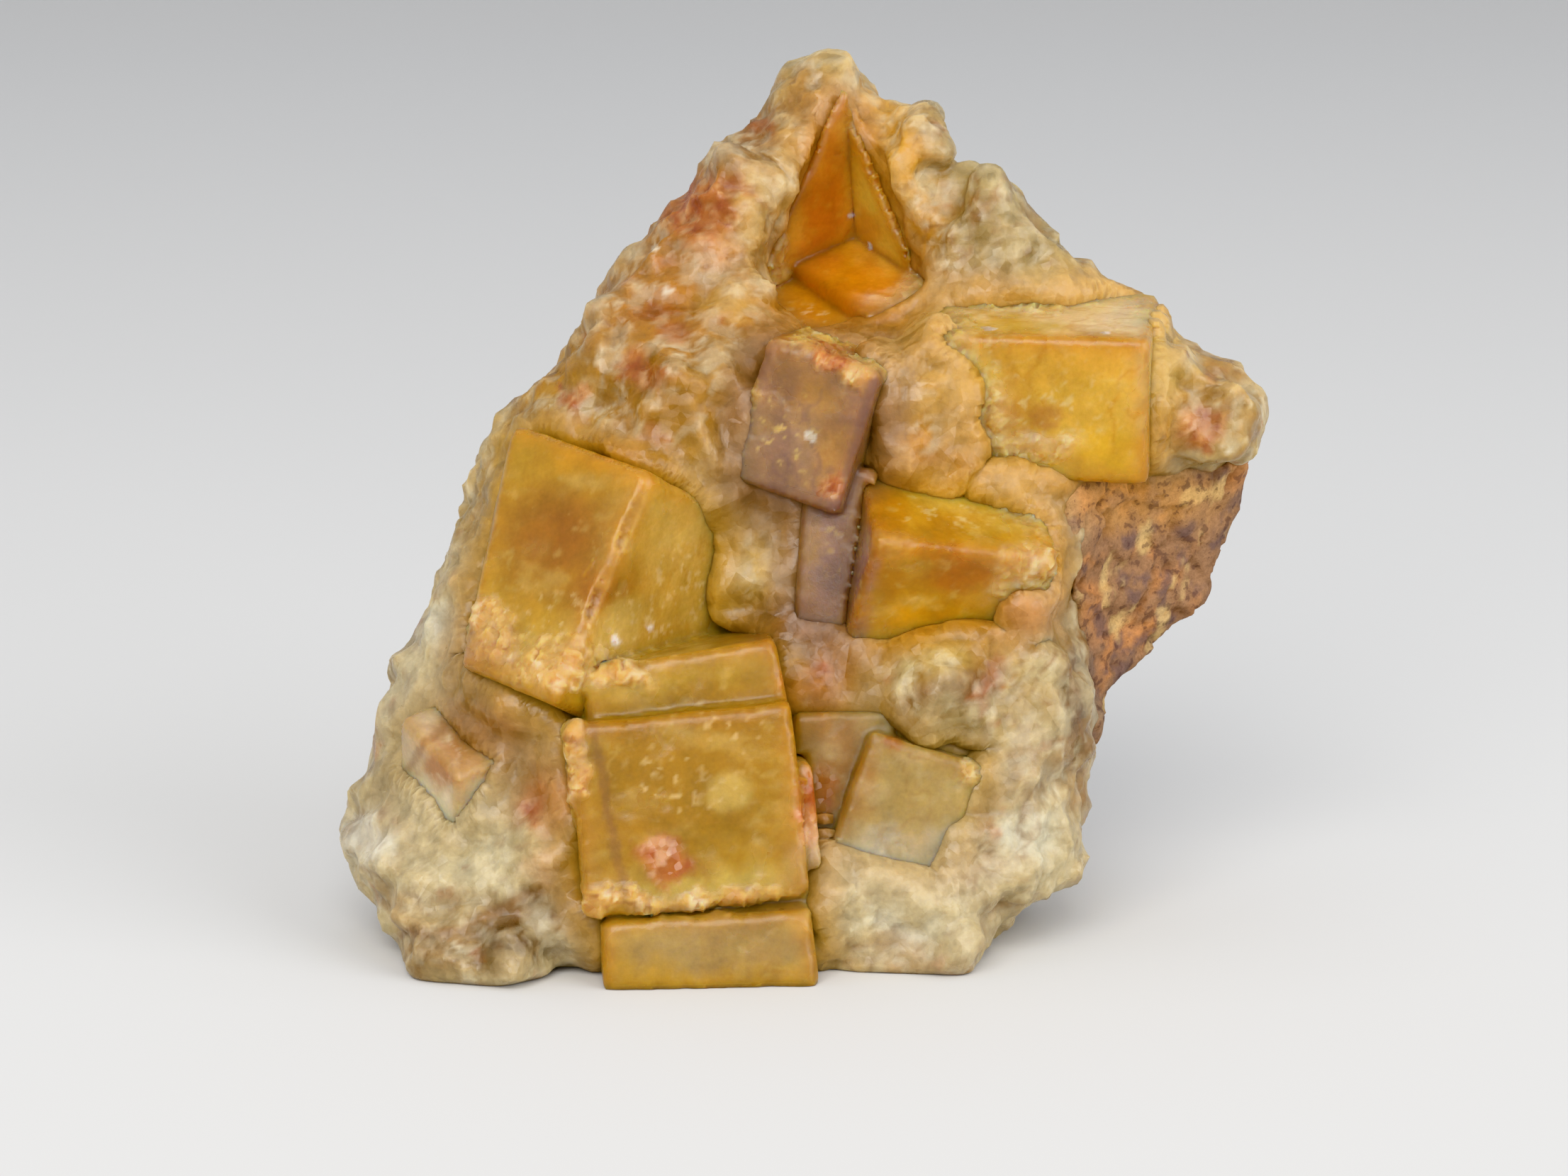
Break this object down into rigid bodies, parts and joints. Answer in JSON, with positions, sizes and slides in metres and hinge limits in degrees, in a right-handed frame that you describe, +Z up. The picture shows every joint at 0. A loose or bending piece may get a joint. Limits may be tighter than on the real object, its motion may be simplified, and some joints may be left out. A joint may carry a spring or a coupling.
{
  "type": "fluorite specimen",
  "caption": "Hand specimen of yellow fluorite: stepped cubic crystals on pale massive fluorite with iron-stained host rock, standing on a flat base.",
  "frame": {"origin": "middle of the specimen's outline, on the surface that it stands on", "axes": "+Z up; -Y towards the viewer of the crystal face, which leans back 12 degrees; +X to that viewer's right"},
  "size_m": [0.0694, 0.039, 0.0645],
  "materials": {
    "pale_fluorite": "waxy broken surface, cream to pale amber, lightly translucent",
    "host_rock": "dull pitted red-brown rock with dark mauve specks",
    "honey_fluorite": "cloudy honey-yellow crystal with glossy faces and frosted edges",
    "amber_fluorite": "clear amber to deep orange crystal, glossy",
    "orange_fluorite": "clear yellow-orange crystal with a corroded crust",
    "frosted_fluorite": "pale straw crystal with frosted faces",
    "violet_fluorite": "smoky violet-brown crystal, satin",
    "milky_fluorite": "milky crystal with a brown top face"
  },
  "bodies": {
    "root": {"pale_matrix": "pale_fluorite", "host_rock": "host_rock", "left_crystals": "honey_fluorite", "summit_crystals": "amber_fluorite", "right_crystals": "orange_fluorite", "corner_crystals": "frosted_fluorite", "violet_crystals": "violet_fluorite", "foot_crystal": "milky_fluorite"}
  },
  "joints": []
}
